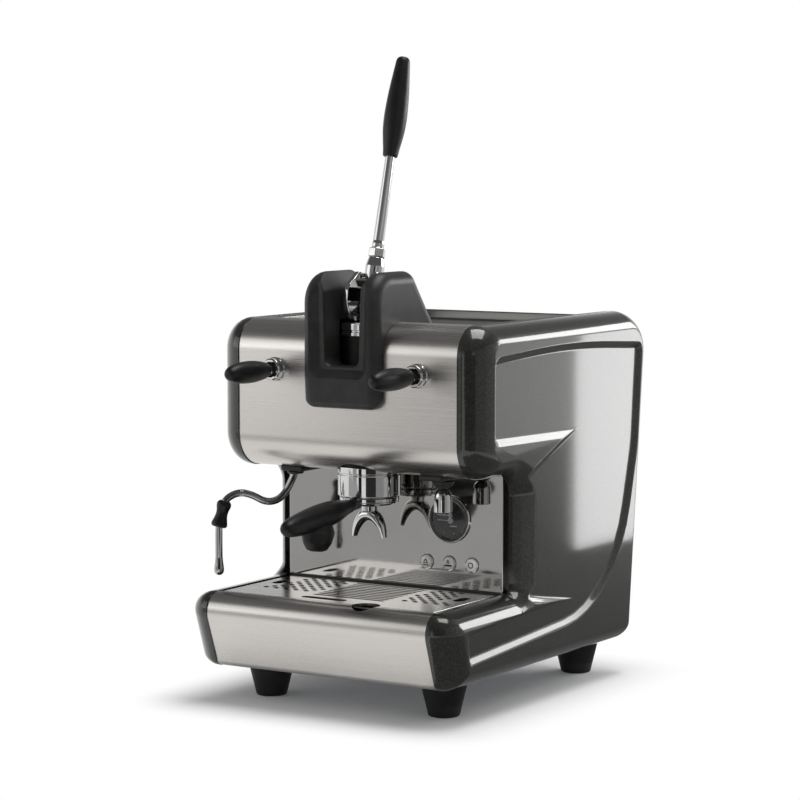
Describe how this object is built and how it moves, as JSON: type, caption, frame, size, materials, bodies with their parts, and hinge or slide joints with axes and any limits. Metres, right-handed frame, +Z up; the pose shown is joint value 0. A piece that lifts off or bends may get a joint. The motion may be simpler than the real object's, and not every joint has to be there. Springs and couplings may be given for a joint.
{
  "type": "lever espresso machine",
  "caption": "Countertop espresso machine with a spring lever group, portafilter, steam wand, hot water outlet, tilting tap levers, drip tray and sculpted side panels.",
  "frame": {"origin": "centre of the footprint box on the worktop, under the feet", "axes": "+Z up, -Y towards the user, X across the width"},
  "size_m": [0.3356, 0.497, 0.6935],
  "materials": {
    "panel_paint": "gloss",
    "rear_paint": "satin",
    "brushed_steel": "brushed",
    "polished_steel": "polished",
    "satin_steel": "satin",
    "frame_steel": "zinc plated",
    "chrome": "polished",
    "black_moulding": "satin",
    "black_grip": "satin",
    "rubber": "matte",
    "brass": "machined",
    "copper": "brushed copper",
    "dial": "satin",
    "lens": "clear",
    "board": "matte",
    "motor_paint": "satin",
    "control_case": "matte"
  },
  "bodies": {
    "machine": {"base_pan": "frame_steel", "feet": "rubber", "frame_left": "frame_steel", "frame_right": "frame_steel", "side_panel_left": "panel_paint", "side_panel_right": "panel_paint", "base_front_panel": "brushed_steel", "head_front_panel": "brushed_steel", "head_underside": "black_moulding", "backsplash": "polished_steel", "cup_tray": "satin_steel", "rear_panel": "rear_paint", "drip_basin": "satin_steel", "lever_cover": "black_moulding", "group_bracket": "frame_steel", "group_body": "chrome", "group_cap": "chrome", "group_gasket": "rubber", "shower_screen": "satin_steel", "main_spring": "frame_steel", "tap_collars": "chrome", "steam_valve": "brass", "water_valve": "brass", "wand_boss": "black_moulding", "hot_water_spout": "chrome", "dial_bezel": "chrome", "dial_face": "dial", "dial_lens": "lens", "button_rings": "chrome", "switch_board": "board", "boiler": "copper", "heating_element": "frame_steel", "boiler_fittings": "brass", "boiler_pipes": "copper", "pump": "motor_paint", "control_box": "control_case", "rear_fittings": "brass"},
    "piston": {"piston": "brass", "piston_seals": "rubber", "piston_rod": "frame_steel"},
    "lever": {"lever_fork": "chrome", "lever_pin": "chrome", "lever_collar": "chrome", "lever_rod": "chrome", "lever_grip": "black_grip"},
    "steam_tap": {"steam_tap_spindle": "chrome", "steam_tap_handle": "black_grip"},
    "water_tap": {"water_tap_spindle": "chrome", "water_tap_handle": "black_grip"},
    "portafilter": {"portafilter_body": "chrome", "filter_basket": "satin_steel", "portafilter_spout": "chrome", "portafilter_handle": "black_grip"},
    "wand": {"wand_tube": "chrome", "wand_grip": "rubber", "wand_tip": "chrome"},
    "left_button": {"button_left": "chrome"},
    "middle_button": {"button_middle": "chrome"},
    "right_button": {"button_right": "chrome"},
    "grid": {"drip_grid": "satin_steel"}
  },
  "joints": [
    {"name": "piston_lift", "type": "slide", "parent": "machine", "child": "piston", "axis": [0, 0, 1], "range_m": [0, 0.0241], "deforming": ["main_spring"]},
    {"name": "lever_pull", "type": "hinge", "parent": "piston", "child": "lever", "pos_m": [0, -0.086, 0.424], "axis": [1, 0, 0], "range_deg": [0, 125]},
    {"name": "steam_tap_tilt", "type": "hinge", "parent": "machine", "child": "steam_tap", "pos_m": [-0.0895, -0.138, 0.359], "axis": [1, 0, 0], "range_deg": [-18, 18]},
    {"name": "water_tap_tilt", "type": "hinge", "parent": "machine", "child": "water_tap", "pos_m": [0.0895, -0.138, 0.359], "axis": [1, 0, 0], "range_deg": [-18, 18]},
    {"name": "portafilter_turn", "type": "hinge", "parent": "machine", "child": "portafilter", "pos_m": [0, -0.086, 0.215], "axis": [0, 0, 1], "range_deg": [-45, 0]},
    {"name": "wand_swivel", "type": "hinge", "parent": "machine", "child": "wand", "pos_m": [-0.0895, -0.095, 0.24], "axis": [0, 0, 1], "range_deg": [-40, 0]},
    {"name": "left_button_press", "type": "slide", "parent": "machine", "child": "left_button", "axis": [0, 1, 0], "range_m": [0, 0.002], "stiffness_N_per_m": 400},
    {"name": "middle_button_press", "type": "slide", "parent": "machine", "child": "middle_button", "axis": [0, 1, 0], "range_m": [0, 0.002], "stiffness_N_per_m": 400},
    {"name": "right_button_press", "type": "slide", "parent": "machine", "child": "right_button", "axis": [0, 1, 0], "range_m": [0, 0.002], "stiffness_N_per_m": 400},
    {"name": "drip_grid_lift", "type": "slide", "parent": "machine", "child": "grid", "axis": [0, 0, 1], "range_m": [0, 0.015]}
  ],
  "couplings": [
    {"joint": "piston_lift", "follows": "lever_pull", "m_per_rad": 0.011001}
  ]
}
